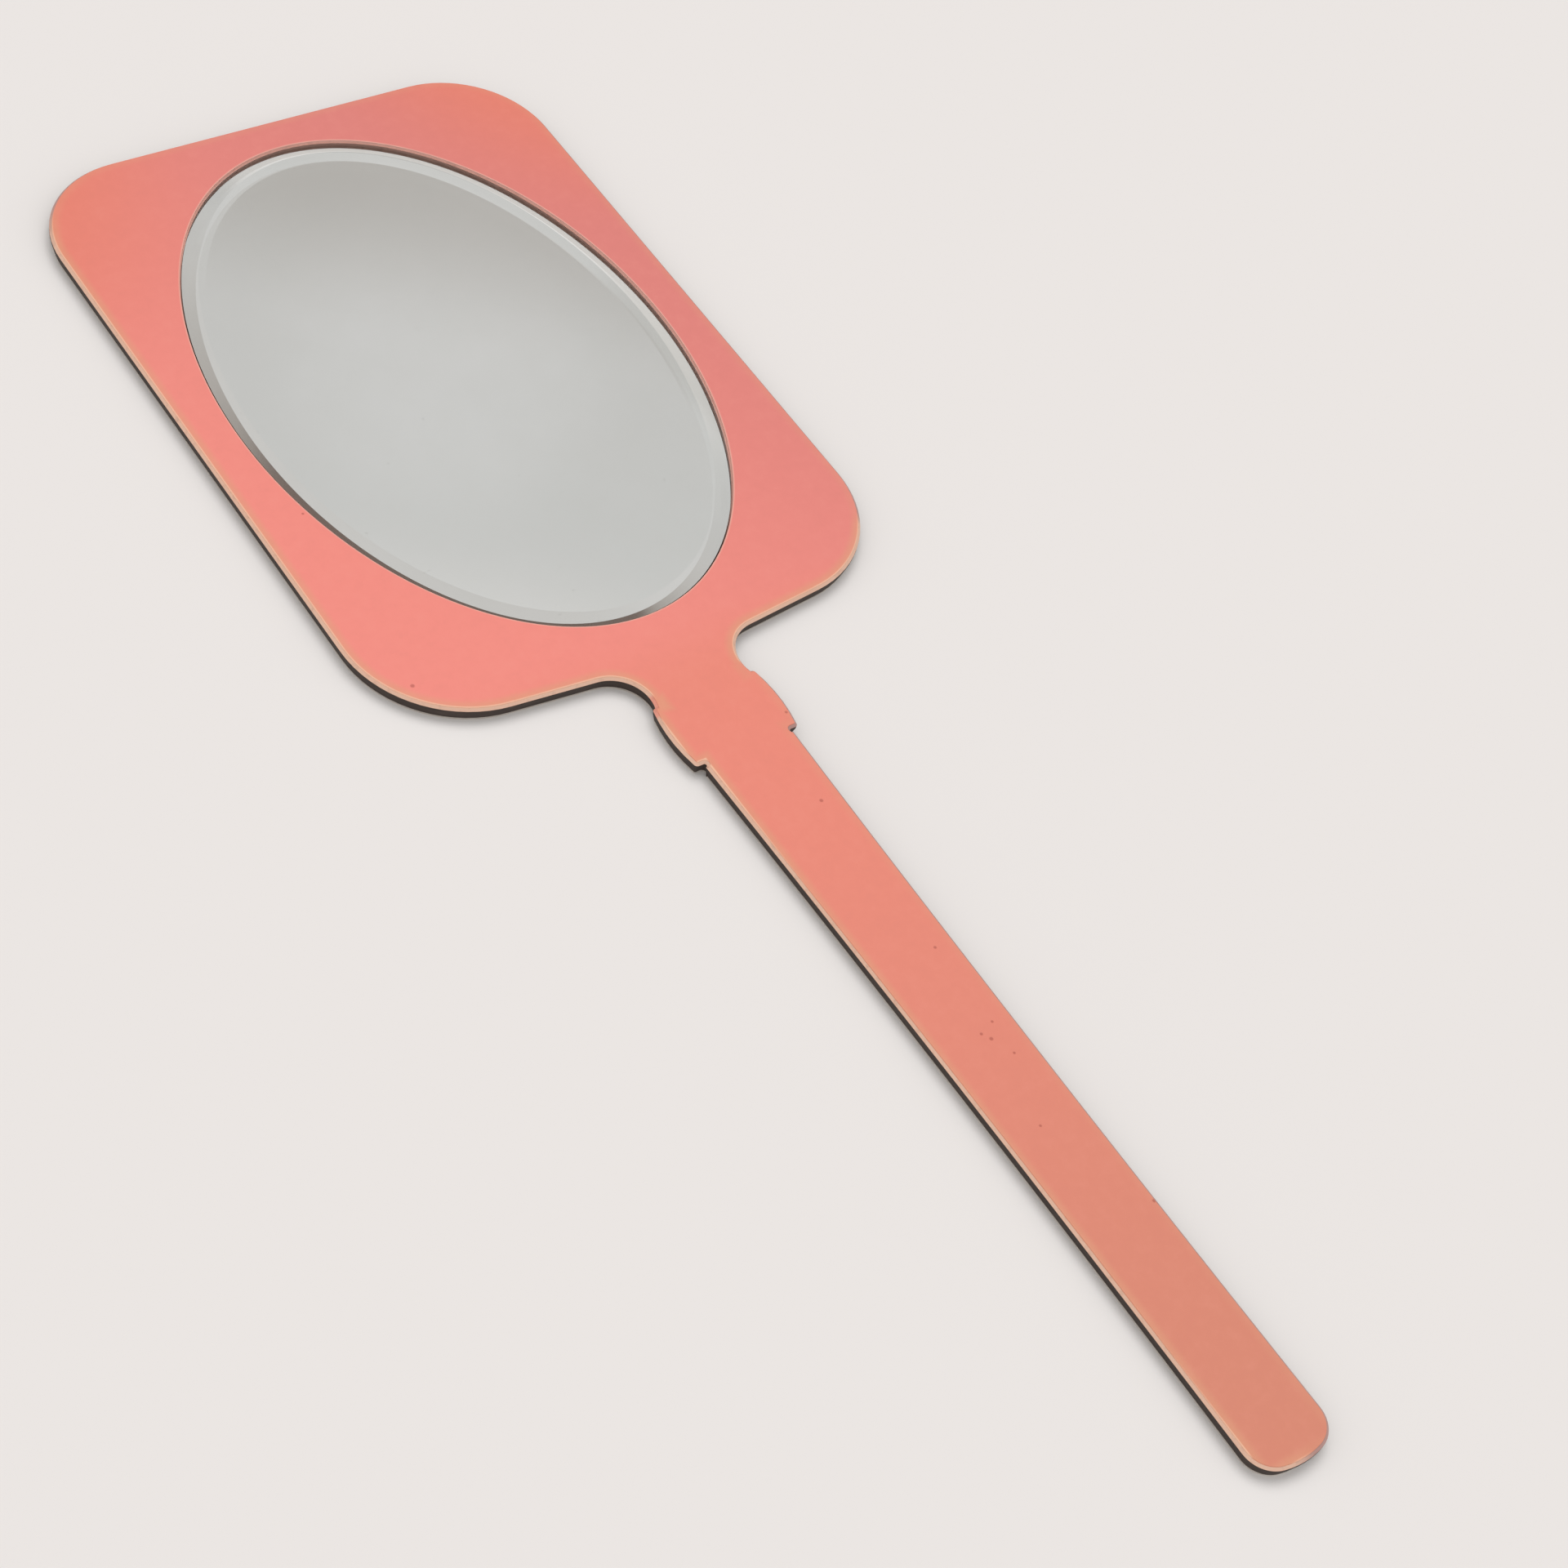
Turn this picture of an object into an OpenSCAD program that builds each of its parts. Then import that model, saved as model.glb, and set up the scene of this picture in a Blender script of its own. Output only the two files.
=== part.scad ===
// Laminated hand mirror: a thin pink face sheet on an ivory sheet, a dark core board and a pale back sheet.
// The bevelled oval glass is let into the opening, its flat level with the face and its rim a little below,
// in a thin ring of dark cement. The face sheet and the back sheet stand back from the edge all round, so that
// the ivory shows as a line. The origin is on the back, under the centre of the oval; +Y points to the head's
// top edge, +X across the head and +Z out of the mirror.

/* [Head] */
// Width of the oval opening
oval_w = 94.6; // [70:0.1:140]
// Height of the oval opening
oval_h = 139.8; // [100:0.2:200]
// Width of the head on each side of the opening
side_border = 8.65; // [6:0.05:20]
// Width of the head above the opening
top_border = 8.1; // [6:0.1:25]
// Width of the head below the opening, beside the neck
bottom_border = 8; // [6:0.1:25]
// Corner radius at the top of the head
top_corner_r = 21.5; // [12:0.5:34]
// Corner radius at the bottom of the head
bottom_corner_r = 24; // [12:0.5:26]

/* [Neck and collar] */
// Width of the neck at its waist
neck_w = 20.6; // [16:0.1:22]
// Radius of the hollow on each side of the neck
neck_fillet_r = 7.5; // [5:0.1:11]
// How much lower the neck's hollows start than the head's lower corners
shoulder_drop = 1.6; // [0.2:0.1:4]
// From the neck's waist down to the collar's upper step
waist_to_collar = 2.3; // [1:0.1:3]
// Width of the collar at its fullest
collar_w = 24.3; // [24:0.1:30]
// Height of the collar
collar_h = 14.7; // [8:0.1:18]
// Radius of the swell of the collar's sides
collar_swell_r = 32; // [24:1:80]
// Rounding of the corners of the face sheet at the collar
collar_edge_r = 0.25; // [0.05:0.05:0.3]
// Radius of the nick between the collar and the handle
nick_r = 0.4; // [0.2:0.05:0.8]

/* [Handle] */
// Length of the handle below the collar
handle_len = 160.9; // [90:0.1:220]
// Width of the handle under the collar
handle_top_w = 19.5; // [16:0.1:20.5]
// Width of the handle at its end
handle_end_w = 17.1; // [15:0.1:20.5]
// How far each side of the handle hollows in at its middle
handle_bow = 0.55; // [0:0.05:1.5]
// Corner radius at the handle's end
tip_corner_r = 5.8; // [3:0.1:6.8]
// Radius of the blunt curve across the handle's end
tip_end_r = 17; // [10:0.5:40]

/* [Edge] */
// How far the face sheet and the back sheet stand back from the edge of the sheets between them
edge_setback = 0.5; // [0:0.05:1.2]

/* [Glass] */
// Gap between the glass and the edge of the opening, filled by cement
glass_gap = 0.25; // [0.1:0.05:2]
// Depth of the glass's flat face below the face sheet
glass_recess = 0; // [0:0.05:1]
// Thickness of the glass at its middle
glass_t = 2.5; // [1.6:0.1:4]
// Width of the bevel, measured from the rim of the glass
bevel_w = 3.4; // [1.5:0.1:12]
// How much the bevel thins the glass at its rim
bevel_drop = 0.5; // [0.2:0.05:1.2]
// How far the cement lies below the rim of the glass
cement_drop = 0.1; // [0:0.05:0.3]

/* [Layers] */
// Thickness of the pink face sheet
face_t = 0.2; // [0.1:0.05:0.4]
// Thickness of the ivory sheet
ivory_t = 0.45; // [0.3:0.05:1.2]
// Thickness of the back sheet
back_t = 0.5; // [0.4:0.05:3]
// Thickness of the card pad behind the glass
pad_t = 0.3; // [0.2:0.05:2.5]
// Thickness of the paint behind the silvering
paint_t = 0.1; // [0.05:0.05:0.3]
// Thickness given to the silvering
silver_t = 0.05; // [0.05:0.05:0.2]

/* [Smoothness] */
// Flats round the oval
oval_sides = 144; // [48:8:192]
// Degrees turned by each flat of a round corner
arc_step = 5; // [3:1:15]
// Flats on each small corner and nick
small_flats = 6; // [3:1:12]
// Flats along each side of the handle
handle_flats = 12; // [6:1:24]

/* [Hidden] */

// Heights of the layers, counted up from the back. The core board makes the sheets as thick as the glass
// and what lies behind it need.
pad_z = back_t;
paint_z = pad_z + pad_t;
silver_z = paint_z + paint_t;
glass_z = silver_z + silver_t;
rim_z = glass_z + glass_t - bevel_drop;
face_top_z = glass_z + glass_t + glass_recess;
face_z = face_top_z - face_t;
ivory_z = face_z - ivory_t;
core_t = ivory_z - back_t;

// Points closer together than this are one point.
same_point = 0.001;

// Half sizes of the ovals.
opening = [oval_w / 2, oval_h / 2];
glass_edge = opening - [glass_gap, glass_gap];
glass_flat = glass_edge - [bevel_w, bevel_w];

// Places down the right side of the outline.
head_w = oval_w + 2 * side_border;
head_top = oval_h / 2 + top_border;
head_bottom = oval_h / 2 + bottom_border;
top_corner = [head_w / 2 - top_corner_r, head_top - top_corner_r];
bottom_corner = [head_w / 2 - bottom_corner_r, bottom_corner_r - head_bottom];
hollow = [neck_w / 2 + neck_fillet_r, -(head_bottom + shoulder_drop + neck_fillet_r)];
collar_top_y = hollow[1] - waist_to_collar;
collar_bottom_y = collar_top_y - collar_h;
collar_corner_r = collar_edge_r + edge_setback;
swell = [collar_w / 2 - collar_swell_r, (collar_top_y + collar_bottom_y) / 2];
nick = [handle_top_w / 2, collar_bottom_y - nick_r];
handle_start_y = nick[1] - nick_r;
tip_y = collar_bottom_y - handle_len;
tip_centre_y = tip_y + tip_end_r;
tip_corner_x = handle_end_w / 2 - tip_corner_r;
tip_corner_y = tip_centre_y - sqrt(pow(tip_end_r - tip_corner_r, 2) - pow(tip_corner_x, 2));

// Points along an arc from angle a to angle b, both ends included.
function arc(centre, r, a, b, flats) =
    [for (i = [0 : flats]) let (t = a + (b - a) * i / flats) centre + r * [cos(t), sin(t)]];

// Flats on a large arc that turns this many degrees.
function flats(turn) = ceil(abs(turn) / arc_step);

// An oval of the given half sizes.
function oval(half) =
    [for (i = [0 : oval_sides - 1]) let (t = 360 * i / oval_sides) [half[0] * cos(t), half[1] * sin(t)]];

// Angle of the normal to the straight shoulder that runs from the head's corner into the neck's hollow.
function shoulder_angle() =
    let (across = hollow - bottom_corner)
    atan2(across[1], across[0]) + acos((bottom_corner_r + neck_fillet_r) / norm(across));

// The collar's side: a long swell between two small rounded corners.
function collar_side(inset) =
    let (
        corner_dy = collar_h / 2 - collar_corner_r,
        corner_dx = sqrt(pow(collar_swell_r - collar_corner_r, 2) - pow(corner_dy, 2)),
        turn = atan2(corner_dy, corner_dx),
        corner_r = collar_corner_r - inset
    )
    concat(
        arc(swell + [corner_dx, corner_dy], corner_r, 90, turn, small_flats),
        arc(swell, collar_swell_r - inset, turn, -turn, flats(2 * turn)),
        arc(swell + [corner_dx, -corner_dy], corner_r, -turn, -90, small_flats)
    );

// The nick under the collar, and the handle's side: a straight taper, hollowed a little at its middle.
function handle_side(inset) =
    concat(
        arc(nick, nick_r + inset, 90, 180 + acos(inset / (nick_r + inset)), 2 * small_flats),
        [for (i = [1 : handle_flats])
            let (t = i / handle_flats)
            [
                (handle_top_w + (handle_end_w - handle_top_w) * t) / 2 - handle_bow * 4 * t * (1 - t) - inset,
                handle_start_y + (tip_corner_y - handle_start_y) * t
            ]
        ]
    );

// Right half of the outline, from the top edge down to the handle's end, moved inwards by inset.
function right_side(inset) =
    let (
        lean = shoulder_angle(),
        hollow_end = 180 + asin((waist_to_collar + inset) / (neck_fillet_r + inset)),
        tip_turn = atan2(tip_corner_y - tip_centre_y, tip_corner_x)
    )
    concat(
        arc(top_corner, top_corner_r - inset, 90, 0, flats(90)),
        arc(bottom_corner, bottom_corner_r - inset, 0, lean, flats(lean)),
        arc(hollow, neck_fillet_r + inset, lean + 180, hollow_end, flats(lean)),
        collar_side(inset),
        handle_side(inset),
        arc([tip_corner_x, tip_corner_y], tip_corner_r - inset, 0, tip_turn, flats(tip_turn)),
        arc([0, tip_centre_y], tip_end_r - inset, tip_turn, -90, flats(90 + tip_turn))
    );

function mirrored(points) = [for (i = [len(points) - 1 : -1 : 0]) [-points[i][0], points[i][1]]];

function whole_outline(inset) = concat(right_side(inset), mirrored(right_side(inset)));

// Whether each point of the outline is kept: where two neighbouring arcs share a point, one of the two is.
points_kept = let (points = whole_outline(0))
    [for (i = [0 : len(points) - 1]) norm(points[i] - points[(i + 1) % len(points)]) > same_point];

function outline(inset) =
    let (points = whole_outline(inset))
    [for (i = [0 : len(points) - 1]) if (points_kept[i]) points[i]];

module oval_plate(half, thickness) {
    linear_extrude(height = thickness) polygon(oval(half));
}

// A sheet with the oval opening, its edge this far inside the mirror's outline.
module open_sheet(inset, thickness) {
    linear_extrude(height = thickness) difference() {
        polygon(outline(inset));
        polygon(oval(opening));
    }
}

module back_sheet() {
    color([0.62, 0.60, 0.56]) linear_extrude(height = back_t) polygon(outline(edge_setback));
}

module core_board() {
    color([0.20, 0.15, 0.13]) translate([0, 0, back_t]) open_sheet(0, core_t);
}

module ivory_sheet() {
    color([0.90, 0.78, 0.68]) translate([0, 0, ivory_z]) open_sheet(0, ivory_t);
}

module face_sheet() {
    color([0.93, 0.55, 0.50]) translate([0, 0, face_z]) open_sheet(edge_setback, face_t);
}

module mirror_glass() {
    color([0.78, 0.80, 0.79]) translate([0, 0, glass_z]) hull() {
        oval_plate(glass_edge, rim_z - glass_z);
        oval_plate(glass_flat, glass_t);
    }
}

module silver_film() {
    color([0.85, 0.85, 0.84]) translate([0, 0, silver_z]) oval_plate(glass_edge, silver_t);
}

module backing_paint() {
    color([0.45, 0.22, 0.16]) translate([0, 0, paint_z]) oval_plate(glass_edge, paint_t);
}

module cushion_pad() {
    color([0.55, 0.47, 0.36]) translate([0, 0, pad_z]) oval_plate(glass_edge, pad_t);
}

module glass_cement() {
    color([0.24, 0.18, 0.15]) translate([0, 0, pad_z])
        linear_extrude(height = rim_z - cement_drop - pad_z) difference() {
            polygon(oval(opening));
            polygon(oval(glass_edge));
        }
}

back_sheet();
core_board();
ivory_sheet();
face_sheet();
mirror_glass();
silver_film();
backing_paint();
cushion_pad();
glass_cement();
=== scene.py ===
"""Hand mirror with an oval bevelled glass in a flat laminated body: its finishes, light and camera."""

import math

import bmesh
import bpy
from mathutils import Matrix, Quaternion, Vector


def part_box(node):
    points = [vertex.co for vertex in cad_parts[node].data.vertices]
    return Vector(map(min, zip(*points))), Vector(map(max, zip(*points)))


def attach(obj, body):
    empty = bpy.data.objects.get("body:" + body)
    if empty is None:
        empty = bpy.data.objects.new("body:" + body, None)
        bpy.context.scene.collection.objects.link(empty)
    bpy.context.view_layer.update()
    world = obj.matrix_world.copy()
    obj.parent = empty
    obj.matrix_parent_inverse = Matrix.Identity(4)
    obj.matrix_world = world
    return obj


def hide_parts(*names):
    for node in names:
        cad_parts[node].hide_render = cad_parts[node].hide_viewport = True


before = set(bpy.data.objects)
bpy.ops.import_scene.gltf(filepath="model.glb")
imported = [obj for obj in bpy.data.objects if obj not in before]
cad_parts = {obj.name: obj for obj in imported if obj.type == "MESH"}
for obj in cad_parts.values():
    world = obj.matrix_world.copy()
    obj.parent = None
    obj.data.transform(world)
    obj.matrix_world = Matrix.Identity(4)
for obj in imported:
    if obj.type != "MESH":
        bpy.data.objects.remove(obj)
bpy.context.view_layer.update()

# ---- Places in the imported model, in metres ----
board_low, board_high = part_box("core_board")
glass_low, glass_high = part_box("mirror_glass")
opening_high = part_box("glass_cement")[1]
face_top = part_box("face_sheet")[1].z
ivory_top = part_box("ivory_sheet")[1].z
back_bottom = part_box("back_sheet")[0].z

# Points and edges closer together than this are in the same place.
SAME_PLACE = 1e-6

# ---- The mirror's outline, in millimetres, for the finishes that follow an edge ----
PER_METRE = 1000.0
OVAL_HALF = (opening_high.x * PER_METRE, opening_high.y * PER_METRE)
HEAD_HALF_W = board_high.x * PER_METRE
HEAD_TOP_Y, HEAD_BOTTOM_Y = board_high.y * PER_METRE, -77.9
HEAD_TOP_R, HEAD_BOTTOM_R = 21.5, 24.0
# The shoulders, the neck, the collar and the handle all lie below this height.
LOWER_PARTS_Y = -60.0
# The shoulder is a straight line: the way it faces, how far out it lies that way, and where it ends.
SHOULDER_NORMAL, SHOULDER_REACH, SHOULDER_END_X = (0.0976, -0.9952), 80.81, 34.3
HOLLOW, HOLLOW_R = (17.8, -87.0), 7.5
NECK_Y, NECK_HALF_H = -80.0, 9.0
SHOULDERS_Y = -77.0
COLLAR_Y, COLLAR_HALF = -96.65, (12.0, 7.35)
COLLAR_CORNER = (11.0, -89.0)
HANDLE_TOP_Y, HANDLE_HALF_W, HANDLE_TAPER = -104.8, 9.6, 0.0068
TIP_Y = board_low.y * PER_METRE
# From the outline in to the eased edge of the pink face.
FACE_SETBACK = 0.55


# ---- Modelling ----
def on_opening(p):
    """Whether a corner of a sheet belongs to its oval opening."""
    return math.hypot(p.x / opening_high.x, p.y / opening_high.y) < 1.05


def on_outline(p):
    """Whether a corner of a sheet belongs to its outline."""
    return not on_opening(p)


def work_on(piece):
    """Makes this piece the only selected and active one."""
    bpy.ops.object.select_all(action="DESELECT")
    piece.select_set(True)
    bpy.context.view_layer.objects.active = piece


def sheet_piece(node, name):
    """A new piece with the shape of a solid, its loose triangles merged into whole faces."""
    piece = bpy.data.objects.new(name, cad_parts[node].data.copy())
    bpy.context.scene.collection.objects.link(piece)
    piece.data.materials.clear()
    work_on(piece)
    bpy.ops.mesh.customdata_custom_splitnormals_clear()
    bpy.ops.object.mode_set(mode="EDIT")
    bpy.ops.mesh.select_all(action="SELECT")
    bpy.ops.mesh.remove_doubles(threshold=SAME_PLACE)
    bpy.ops.mesh.dissolve_limited(angle_limit=math.radians(0.05))
    bpy.ops.object.mode_set(mode="OBJECT")
    return piece


def ease_edges(piece, height, wanted, width, segments=1, steepness=1.0):
    """Bevels the sharp edges at this height whose two ends both pass the test.

    A steep bevel is this many times as tall as it is wide.
    """
    sharp = 0.1  # radians between the two faces
    piece.data.transform(Matrix.Diagonal((1, 1, 1 / steepness, 1)))
    work_on(piece)
    bpy.ops.object.mode_set(mode="EDIT")
    bpy.ops.mesh.select_mode(type="EDGE")
    bpy.ops.mesh.select_all(action="DESELECT")
    shape = bmesh.from_edit_mesh(piece.data)
    for edge in shape.edges:
        chosen = all(wanted(v.co) and abs(v.co.z * steepness - height) < SAME_PLACE for v in edge.verts)
        edge.select_set(chosen and edge.calc_face_angle(0) > sharp)
    bmesh.update_edit_mesh(piece.data)
    bpy.ops.mesh.bevel(offset=width, segments=segments, affect="EDGES", clamp_overlap=False)
    bpy.ops.object.mode_set(mode="OBJECT")
    piece.data.transform(Matrix.Diagonal((1, 1, steepness, 1)))


def oval_plate(name, base, levels, sides=180):
    """A closed oval plate. Each level is its half width, its half height and its height above the base."""
    bpy.ops.object.select_all(action="DESELECT")
    bpy.ops.mesh.primitive_circle_add(vertices=sides, radius=1, fill_type="NGON")
    piece = bpy.context.object
    piece.name = name
    bpy.ops.object.mode_set(mode="EDIT")
    bpy.ops.mesh.select_all(action="SELECT")
    half, rise = (1, 1), 0
    for step, (half_w, half_h, height) in enumerate([(*levels[0][:2], 0), *levels]):
        if step:
            bpy.ops.mesh.extrude_region_move(TRANSFORM_OT_translate={"value": (0, 0, height - rise)})
        bpy.ops.transform.resize(
            value=(half_w / half[0], half_h / half[1], 1), center_override=(0, 0, height))
        half, rise = (half_w, half_h), height
    bpy.ops.mesh.select_all(action="SELECT")
    bpy.ops.transform.translate(value=(0, 0, base))
    bpy.ops.object.mode_set(mode="OBJECT")
    return piece


def finished(piece, material, slot, *nodes, smooth=30):
    """Shades a piece, gives it its material and puts it in place of the solids that it stands for."""
    work_on(piece)
    bpy.ops.object.shade_smooth_by_angle(angle=math.radians(smooth))
    piece.data.materials.clear()
    piece.data.materials.append(material)
    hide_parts(*nodes)
    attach(piece, "root")


# ---- Node trees ----
def add_node(tree, kind, settings=None, sockets=None):
    """Adds a node with its settings, its ramp's stops if it has one, and its sockets' values or links."""
    node = tree.nodes.new(kind)
    for name, value in (settings or {}).items():
        if name == "stops":
            ramp = node.color_ramp.elements
            while len(ramp) < len(value):
                ramp.new(0.5)
            for stop, (at, colour) in zip(ramp, value):
                stop.position, stop.color = at, (*colour, 1)
        else:
            setattr(node, name, value)
    for name, value in (sockets or {}).items():
        socket = node.inputs[name]
        value = getattr(value, "socket", value)
        if isinstance(value, bpy.types.NodeSocket):
            tree.links.new(value, socket)
        elif isinstance(value, tuple) and len(value) < len(socket.default_value):
            socket.default_value = (*value, 1)
        else:
            socket.default_value = value
    return node


class Number:
    """A value that varies over a surface; arithmetic on it adds Math nodes."""

    def __init__(self, finish, socket):
        self.finish, self.socket = finish, socket

    def maths(self, operation, *others, swap=False):
        values = [self, *others]
        if swap:
            values.reverse()
        node = self.finish.add("ShaderNodeMath", {"operation": operation}, dict(enumerate(values)))
        return Number(self.finish, node.outputs[0])

    def __add__(self, other):
        return self.maths("ADD", other)

    def __sub__(self, other):
        return self.maths("SUBTRACT", other)

    def __rsub__(self, other):
        return self.maths("SUBTRACT", other, swap=True)

    def __mul__(self, other):
        return self.maths("MULTIPLY", other)

    def __truediv__(self, other):
        return self.maths("DIVIDE", other)

    def __pow__(self, other):
        return self.maths("POWER", other)

    def __abs__(self):
        return self.maths("ABSOLUTE")

    __radd__ = __add__

    def least(self, other):
        return self.maths("MINIMUM", other)

    def most(self, other):
        return self.maths("MAXIMUM", other)

    def between(self, low, high):
        """0 where the value is at or past low, 1 where it is at or past high, smooth between them."""
        node = self.finish.add(
            "ShaderNodeMapRange", {"interpolation_type": "SMOOTHSTEP"},
            {"Value": self, "From Min": low, "From Max": high})
        return Number(self.finish, node.outputs["Result"])


def length(a, b):
    return (a * a + b * b) ** 0.5


class Finish:
    """One procedural material: a Principled shader, and nodes that vary it over x and y in millimetres."""

    def __init__(self, name, **constants):
        self.material = bpy.data.materials.new(name)
        self.material.use_nodes = True
        self.shader = self.material.node_tree.nodes["Principled BSDF"]
        for socket, value in constants.items():
            self.shader.inputs[socket.replace("_", " ")].default_value = value
        place = self.add("ShaderNodeTexCoord").outputs["Object"]
        self.place = self.add(
            "ShaderNodeVectorMath", {"operation": "SCALE"}, {0: place, "Scale": PER_METRE}).outputs[0]
        axes = self.add("ShaderNodeSeparateXYZ", {}, {0: self.place}).outputs
        self.x, self.y = Number(self, axes["X"]), Number(self, axes["Y"])

    def add(self, kind, settings=None, sockets=None):
        return add_node(self.material.node_tree, kind, settings, sockets)

    def noise(self, size, detail=2.0, roughness=0.5, stretch=(1, 1, 1)):
        """Noise from 0 to 1 whose largest features are about this many millimetres."""
        scale = tuple(s / size for s in stretch)
        place = self.add("ShaderNodeMapping", {}, {"Vector": self.place, "Scale": scale}).outputs[0]
        node = self.add(
            "ShaderNodeTexNoise", {},
            {"Vector": place, "Scale": 1.0, "Detail": detail, "Roughness": roughness})
        return Number(self, node.outputs[0])

    def spot(self, x, y, radius):
        """1 at a small round mark's middle, 0 outside it."""
        return 1 - length(self.x - x, self.y - y).between(radius * 0.4, radius)

    def mix(self, amount, a, b):
        return self.add("ShaderNodeMix", {"data_type": "RGBA"}, {0: amount, 6: a, 7: b}).outputs[2]

    def bump(self, height, depth):
        """Raises the surface by up to this many millimetres where the height is 1."""
        node = self.add(
            "ShaderNodeBump", {}, {"Height": height, "Distance": depth / PER_METRE, "Strength": 1.0})
        self.set("Normal", node.outputs[0])

    def set(self, name, value):
        self.material.node_tree.links.new(getattr(value, "socket", value), self.shader.inputs[name])

    def depth(self):
        """Distance inside the mirror's outline."""
        x, y = abs(self.x), self.y
        below_head = y - LOWER_PARTS_Y
        corner = HEAD_BOTTOM_R + y.between(-1, 1) * (HEAD_TOP_R - HEAD_BOTTOM_R)
        qx = x - HEAD_HALF_W + corner
        qy = abs(y - (HEAD_TOP_Y + HEAD_BOTTOM_Y) / 2) - (HEAD_TOP_Y - HEAD_BOTTOM_Y) / 2 + corner
        head = length(qx.most(0), qy.most(0)) + qx.most(qy).least(0) - corner
        handle = (x - HANDLE_HALF_W - (y - HANDLE_TOP_Y) * HANDLE_TAPER).most((TIP_Y - y).most(below_head))
        collar = (x - COLLAR_HALF[0]).most(abs(y - COLLAR_Y) - COLLAR_HALF[1])
        hollow = HOLLOW_R - length(x - HOLLOW[0], y - HOLLOW[1])
        neck = hollow.most((x - HOLLOW[0]).most(abs(y - NECK_Y) - NECK_HALF_H))
        shoulder = x * SHOULDER_NORMAL[0] + y * SHOULDER_NORMAL[1] - SHOULDER_REACH
        shoulder = shoulder.most(x - SHOULDER_END_X).most(below_head).most(hollow)
        return 0 - head.least(handle).least(collar).least(neck).least(shoulder)

    def shaded_far_edges(self):
        """1 along the head's top edge and the right-hand edges, which get painted shade: greyer ivory, a
        fainter yellow halo and no painted ridge highlight. 0 along the rest.
        """
        shoulders = 1 - abs(self.y - SHOULDERS_Y).between(9, 13)
        return (self.x.between(-3, 3) * (1 - shoulders)).most(self.y.between(60, 72))

    def collar_corners(self):
        """1 at the two upper corners of the collar, where the pink has run over the ivory."""
        return 1 - length(abs(self.x) - COLLAR_CORNER[0], self.y - COLLAR_CORNER[1]).between(2, 3)

    def off_oval(self):
        """Distance outside the oval opening, below 0 inside it."""
        across, along = self.x / OVAL_HALF[0], self.y / OVAL_HALF[1]
        reach = length(across, along)
        return reach * (reach - 1) / length(across / OVAL_HALF[0], along / OVAL_HALF[1]).most(1e-6)


def tone(red, green, blue):
    """A colour given as it looks on a screen, from 0 to 255, in the values that a shader takes."""
    shares = (red / 255, green / 255, blue / 255)
    return tuple(((s + 0.055) / 1.055) ** 2.4 if s > 0.04045 else s / 12.92 for s in shares)


# ---- Finishes ----
# Small dark specks in the pink face, each with its x, its y and its radius in millimetres.
SPECKS = (
    (-48.5, -66.6, 0.55), (4.9, -120.6, 0.5), (4.6, -156.4, 0.4), (1.1, -174.9, 0.4), (2.1, -176.5, 0.5),
    (4.4, -173.7, 0.35), (4.0, -180.7, 0.35), (-0.9, -194.6, 0.35), (7.7, -215.5, 0.45), (10.8, -100.7, 0.4),
    (-46.0, -22.0, 0.35))


def pink_celluloid():
    """Salmon pink, yellower along its edges, with painted highlights on the outer edge's ridge and at the
    glass, and a painted sheen towards the lower left.
    """
    f = Finish("pink_celluloid", IOR=1.5, Coat_Weight=0.15, Coat_Roughness=0.12)
    # Painted sheen: the head is painted lighter towards the lower left and darker towards the upper right.
    across = (f.x * 0.8 + f.y * 0.5).between(-62, 62)
    head = f.mix(across, tone(245, 140, 127), tone(225, 129, 121))
    top_corners = ((abs(f.x) / HEAD_HALF_W) * (f.y / HEAD_TOP_Y).most(0)).between(0.2, 0.9)
    head = f.mix(top_corners, head, tone(234, 129, 109))
    handle = f.mix((0 - f.y).between(95, 275), tone(238, 136, 117), tone(217, 134, 109))
    colour = f.mix((0 - f.y).between(70, 88), head, handle)
    depth = f.depth() - FACE_SETBACK
    halo = (1 - depth.between(0.2, 2.2)) * (0.7 + f.noise(9, 3) * 0.5)
    colour = f.mix(halo * (0.6 - f.shaded_far_edges() * 0.35), colour, tone(224, 158, 122))
    # Painted highlight: a pale peach line along the ridge of the outer edge, left off the top and right-hand
    # edges and the collar corners.
    crest_highlight = (1 - depth.between(0.02, 0.3)) * (1 - f.shaded_far_edges()) * (1 - f.collar_corners())
    colour = f.mix(crest_highlight * 0.75, colour, tone(246, 200, 168))
    # Painted highlight: the pink is painted pale along its edge at the glass, which also lightens the shaded
    # wall of the opening.
    rim = 1 - f.off_oval().between(0.05, 0.4)
    colour = f.mix(rim * 0.75, colour, tone(238, 182, 164))
    mottle = f.noise(2.6, 5, 0.62)
    colour = f.mix((mottle - 0.5).most(0) * 0.35, colour, tone(248, 168, 150))
    colour = f.mix((0.5 - mottle).most(0) * 0.35, colour, tone(205, 118, 104))
    marks = f.spot(*SPECKS[0])
    for speck in SPECKS[1:]:
        marks = marks.most(f.spot(*speck))
    colour = f.mix(marks * 0.5, colour, tone(150, 58, 46))
    f.set("Base Color", colour)
    scratches = f.noise(1.1, 2, 0.5, stretch=(1, 0.04, 1))
    f.set("Roughness", 0.36 + mottle * 0.14 + (scratches - 0.6).most(0) * 0.5)
    f.bump(mottle * 0.5 + f.noise(0.5, 2) * 0.3 - marks * 2, 0.02)
    return f.material


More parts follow.
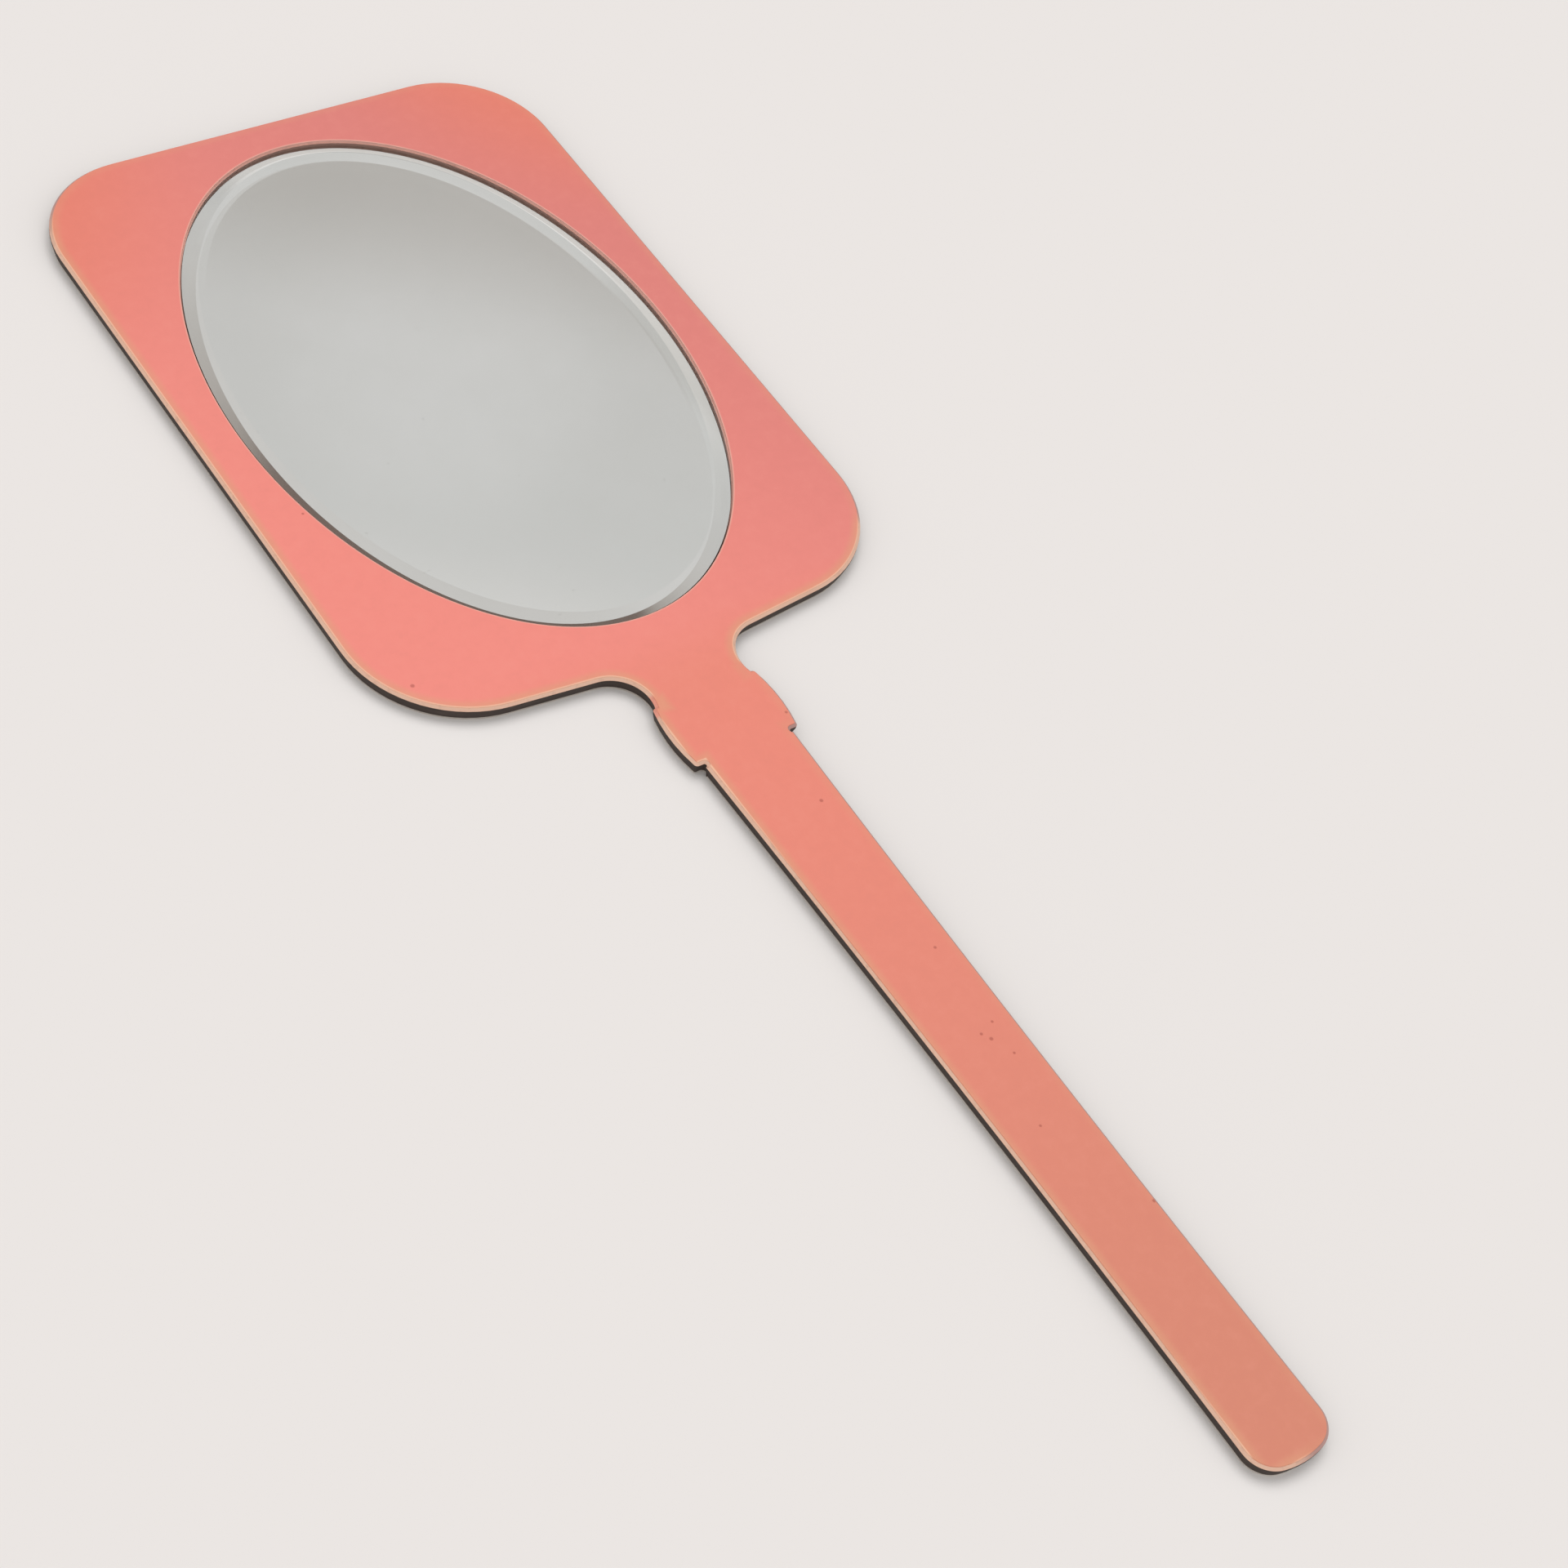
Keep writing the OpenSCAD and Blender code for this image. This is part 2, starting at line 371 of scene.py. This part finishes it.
def ivory_celluloid():
    """Cream, with painted shade greying the top and the right-hand edges and painted light making the wall of
    the opening a pale pink.
    """
    f = Finish("ivory_celluloid", IOR=1.5, Coat_Weight=0.1, Coat_Roughness=0.15)
    colour = f.mix(f.noise(14, 4, 0.6), tone(232, 190, 166), tone(218, 172, 146))
    # Painted shade: the ivory is painted greyer along the top and the right-hand edges.
    colour = f.mix(f.shaded_far_edges() * 0.9, colour, tone(174, 132, 126))
    colour = f.mix(f.collar_corners() * 0.85, colour, tone(232, 146, 126))
    # Painted light: the wall of the opening is painted a pale pink, lighter than the shade it lies in.
    painted_light_in_opening = 1 - f.off_oval().between(0.3, 0.8)
    colour = f.mix(painted_light_in_opening, colour, tone(253, 200, 184))
    colour = f.mix((f.noise(1.3, 3) - 0.55).most(0) * 1.2, colour, tone(150, 100, 78))
    f.set("Base Color", colour)
    f.set("Roughness", 0.38 + f.noise(0.8) * 0.2)
    f.bump(f.noise(0.35, 2, stretch=(1, 1, 0.3)), 0.012)
    return f.material


def dark_laminate():
    """Dark brown board, with thin layers that show on its edge."""
    f = Finish("dark_laminate", IOR=1.48)
    plies = f.noise(0.5, 3, 0.6, stretch=(0.05, 0.05, 1))
    colour = f.mix(plies, tone(66, 52, 45), tone(44, 34, 29))
    colour = f.mix((f.noise(3, 4) - 0.5).most(0) * 0.8, colour, tone(92, 76, 66))
    f.set("Base Color", colour)
    f.set("Roughness", 0.62 + plies * 0.2)
    f.bump(plies + f.noise(0.25, 3) * 0.5, 0.03)
    return f.material


def pearl_back():
    """Pale clouded sheet, darker along its edges, with fine scratches."""
    f = Finish("pearl_back", IOR=1.5, Coat_Weight=0.15, Coat_Roughness=0.12)
    cloud = f.noise(26, 5, 0.58)
    colour = f.mix(cloud, tone(206, 198, 188), tone(188, 178, 166))
    colour = f.mix((f.noise(1.6, 4, 0.6) - 0.5).most(0) * 0.4, colour, tone(150, 140, 130))
    colour = f.mix((1 - f.depth().between(0, 1.5)) * 0.5, colour, tone(160, 148, 138))
    f.set("Base Color", colour)
    scratches = f.noise(0.9, 2, 0.5, stretch=(1, 0.05, 1))
    f.set("Roughness", 0.34 + cloud * 0.12 + (scratches - 0.6).most(0) * 0.8)
    f.bump(f.noise(0.6, 3) * 0.5 + scratches * 0.3, 0.015)
    return f.material


def polished_glass():
    """Clear glass with a trace of haze."""
    f = Finish("polished_glass", IOR=1.5, Transmission_Weight=1.0)
    f.set("Base Color", f.mix(f.noise(20, 3), tone(254, 254, 254), tone(251, 252, 252)))
    f.set("Roughness", f.noise(9, 4) * 0.02)
    return f.material


def silvering():
    """A silver film with fine specks, and painted reflection shade that dims it towards the upper right and
    under the right-hand bevel.
    """
    f = Finish("silvering", Metallic=1.0)
    haze = f.noise(11, 4, 0.6)
    colour = f.mix(haze, tone(248, 247, 245), tone(244, 243, 240))
    # The bevel shows the outer five millimetres of the film. Along the upper side these aren't dimmed, except
    # the outermost two millimetres on the right.
    seen_by_bevel = f.off_oval().between(-5.3, -4.9)
    rim = f.off_oval().between(-2.5, -2.1) * f.x.between(-24, 0)
    clear_end = seen_by_bevel * (1 - rim) * f.y.between(-5, 20)
    # Painted reflection shade: the film is dimmed towards the upper right and, where the bevel shows it,
    # along the right-hand side.
    reflection_shade_end = (f.x * 0.6 + f.y * 0.8).between(5, 50) * (1 - clear_end)
    colour = f.mix(reflection_shade_end, colour, tone(226, 223, 219))
    reflection_shade_side = seen_by_bevel * f.x.between(38, 43) * (1 - f.y.between(-8, 20))
    colour = f.mix(reflection_shade_side, colour, tone(232, 230, 226))
    specks = (f.noise(1.4, 2, 0.4) - 0.72).most(0) * 4
    colour = f.mix(specks.least(1) * 0.25, colour, tone(150, 140, 130))
    f.set("Base Color", colour)
    f.set("Roughness", 0.02 + haze * 0.04)
    return f.material


def dark_cement():
    """Cement, dark along the lower left side, and along the other sides painted a pale pink as painted light,
    paler than the shade it lies in.
    """
    f = Finish("dark_cement")
    dark_lower_left = (0 - f.x * 0.8 - f.y * 0.6).between(-8, 20)
    # Painted light: away from the lower left the cement is painted a pale pink, paler than the shade it lies
    # in.
    colour = f.mix(f.noise(1.2, 4, 0.6), tone(236, 186, 170), tone(196, 152, 138))
    colour = f.mix(dark_lower_left, colour, tone(66, 44, 38))
    f.set("Base Color", colour)
    f.set("Roughness", 0.6 + f.noise(1.2) * 0.15)
    f.bump(f.noise(1.2, 4, 0.6), 0.05)
    return f.material


def plain_finish(name, light, dark, grain, roughness, relief):
    """A simple mottled finish for the layers behind the glass."""
    f = Finish(name)
    mottle = f.noise(grain, 4, 0.6)
    f.set("Base Color", f.mix(mottle, light, dark))
    f.set("Roughness", roughness + mottle * 0.15)
    f.bump(mottle, relief)
    return f.material


# ---- Sheets ----
FACE_ROUND, OPENING_ROUND = 0.00015, 0.0001
IVORY_CHAMFER = 0.0004
BOARD_SLOPE, BOARD_STEEPNESS = 0.0005, 3.5
BACK_ROUND = 0.0003

face = sheet_piece("face_sheet", "pink_face")
ease_edges(face, face_top, on_outline, FACE_ROUND, segments=3)
ease_edges(face, face_top, on_opening, OPENING_ROUND, segments=2)
finished(face, pink_celluloid(), "face", "face_sheet", smooth=12)

ivory = sheet_piece("ivory_sheet", "ivory_layer")
ease_edges(ivory, ivory_top, on_outline, IVORY_CHAMFER)
finished(ivory, ivory_celluloid(), "ivory", "ivory_sheet", smooth=25)

# The lower part of the board's edge slopes in to meet the smaller back sheet.
core = sheet_piece("core_board", "dark_core")
ease_edges(core, board_low.z, on_outline, BOARD_SLOPE, steepness=BOARD_STEEPNESS)
finished(core, dark_laminate(), "core", "core_board")

back = sheet_piece("back_sheet", "pale_back")
ease_edges(back, back_bottom, on_outline, BACK_ROUND, segments=3)
finished(back, pearl_back(), "back", "back_sheet", smooth=12)

# ---- Glass, and the layers round and behind it ----
# The glass is bedded in its cement and silvering, each of which it enters by a hair, so that no film of air
# shows between them. A fine arris runs round its rim, and the bevel rises from that to the flat.
BEDDED, BEVEL_W, BEVEL_DROP, ARRIS = 0.00003, 0.0034, 0.0005, 0.00012
rim_x, rim_y = glass_high.x + BEDDED, glass_high.y + BEDDED
glass_t = glass_high.z - glass_low.z + BEDDED
mirror = oval_plate("bevelled_glass", glass_low.z - BEDDED, [
    (rim_x, rim_y, glass_t - BEVEL_DROP - ARRIS),
    (rim_x - ARRIS, rim_y - ARRIS, glass_t - BEVEL_DROP),
    (rim_x - BEVEL_W, rim_y - BEVEL_W, glass_t),
])
finished(mirror, polished_glass(), "glass", "mirror_glass", smooth=4)

for node, material in (
    ("silver_film", silvering()),
    ("backing_paint", plain_finish("backing_paint", tone(120, 62, 46), tone(98, 46, 34), 2.0, 0.5, 0.01)),
    ("cushion_pad", plain_finish("pad_card", tone(150, 128, 100), tone(120, 98, 74), 0.8, 0.75, 0.04)),
    ("glass_cement", dark_cement()),
):
    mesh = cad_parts[node].data
    mesh.materials.clear()
    mesh.materials.append(material)

# ---- Floor ----
FLOOR = tone(235, 230, 226)
# The floor cuts the back sheet a hair above its underside, so that the back is lit when seen from below.
FLOOR_RISE = 0.00005
FLOOR_SIZE = 12

bpy.ops.object.select_all(action="DESELECT")
bpy.ops.mesh.primitive_plane_add(size=FLOOR_SIZE, location=(0, 0, back_bottom + FLOOR_RISE))
floor = bpy.context.object
floor.name = "floor"
paper = Finish("floor_paper", Roughness=0.9)
paper.shader.inputs["Specular IOR Level"].default_value = 0.0
paper.shader.inputs["Base Color"].default_value = (*FLOOR, 1)
see_through = paper.add("ShaderNodeBsdfTransparent")
from_below = paper.add("ShaderNodeNewGeometry").outputs["Backfacing"]
either = paper.add(
    "ShaderNodeMixShader", {}, {0: from_below, 1: paper.shader.outputs[0], 2: see_through.outputs[0]})
paper_tree = paper.material.node_tree
paper_tree.links.new(either.outputs[0], paper_tree.nodes["Material Output"].inputs["Surface"])
floor.data.materials.append(paper.material)

# ---- Room ----
# The glass shows the room that lies ahead, past the head of the mirror: a warm dark low down, then paler with
# height, in tones by degrees above the horizon. The rest of the room has one even tone. A soft patch ahead is
# a little brighter. The camera itself sees only the floor's tone.
AHEAD = (0.606, 0.7955, 0.0)
AHEAD_TONES = (
    (0, (114, 97, 88)), (33.1, (114, 97, 88)), (33.7, (150, 141, 134)), (34.6, (172, 166, 160)),
    (36, (185, 181, 177)), (38, (195, 193, 190)), (40.4, (203, 202, 200)), (43.2, (204, 204, 203)),
    (46.4, (205, 206, 205)), (47.5, (214, 214, 213)), (49, (230, 230, 229)), (52, (242, 241, 240)),
    (60, (242, 241, 240)), (90, (228, 228, 228)))
ELSEWHERE = tone(230, 231, 232)
PATCH, PATCH_LIGHT = (0.4387, 0.5822, 0.6845), (0.047, 0.047, 0.05)

world = bpy.data.worlds.new("studio")
bpy.context.scene.world = world
world.use_nodes = True
room = world.node_tree
toward = add_node(room, "ShaderNodeTexCoord").outputs["Generated"]
height = add_node(room, "ShaderNodeSeparateXYZ", {}, {0: toward}).outputs[2]


def facing(direction, low, high):
    """1 towards a direction and 0 away from it, smooth between these two cosines."""
    cosine = add_node(room, "ShaderNodeVectorMath", {"operation": "DOT_PRODUCT"}, {0: toward, 1: direction})
    return add_node(
        room, "ShaderNodeMapRange", {"interpolation_type": "SMOOTHSTEP"},
        {"Value": cosine.outputs["Value"], "From Min": low, "From Max": high}).outputs["Result"]


stops = [(math.sin(math.radians(angle)), tone(*colour)) for angle, colour in AHEAD_TONES]
view_ahead = add_node(room, "ShaderNodeValToRGB", {"stops": stops}, {0: height}).outputs[0]
view_ahead = add_node(
    room, "ShaderNodeMix", {"data_type": "RGBA", "blend_type": "ADD"},
    {0: facing(PATCH, 0.9978, 1.0), 6: view_ahead, 7: PATCH_LIGHT}).outputs[2]
around = add_node(
    room, "ShaderNodeMix", {"data_type": "RGBA"},
    {0: facing(AHEAD, 0.25, 0.6), 6: ELSEWHERE, 7: view_ahead}).outputs[2]
even = add_node(room, "ShaderNodeBackground", {}, {"Color": around, "Strength": 1.0})
seen = add_node(room, "ShaderNodeBackground", {}, {"Color": FLOOR, "Strength": 1.0})
from_camera = add_node(room, "ShaderNodeLightPath").outputs["Is Camera Ray"]
choose = add_node(room, "ShaderNodeMixShader", {}, {0: from_camera, 1: even.outputs[0], 2: seen.outputs[0]})
room.links.new(choose.outputs[0], room.nodes["World Output"].inputs["Surface"])

# ---- Lamp ----
lamp = bpy.data.lights.new("soft_key", "SUN")
lamp.energy = 0.97
lamp.angle = math.radians(45)
lamp.color = (1.0, 1.0, 1.02)
key = bpy.data.objects.new("soft_key", lamp)
key.rotation_mode = "QUATERNION"
key_from = Vector((0.2, 0.3, 0.93))
key.rotation_quaternion = key_from.to_track_quat("Z", "Y")
key.visible_glossy = key.visible_transmission = False
bpy.context.scene.collection.objects.link(key)

# ---- Camera: left of the handle's end, looking down at the top of the handle ----
CAMERA_ABOVE_FACE = 0.42169
CAMERA_ROLL = 18.08

lens = bpy.data.cameras.new("camera")
lens.sensor_width = 36
lens.lens = 70.92
lens.clip_start, lens.clip_end = 0.01, 30
camera = bpy.data.objects.new("camera", lens)
bpy.context.scene.collection.objects.link(camera)
camera.location = (-0.26973, -0.35381, face_top + CAMERA_ABOVE_FACE)
looks_along = Vector((0.48721, 0.43101, -0.75951))
roll = Quaternion((0, 0, 1), math.radians(CAMERA_ROLL))
camera.rotation_mode = "QUATERNION"
camera.rotation_quaternion = looks_along.to_track_quat("-Z", "Y") @ roll
bpy.context.scene.camera = camera
bpy.context.scene.view_settings.view_transform = "Standard"
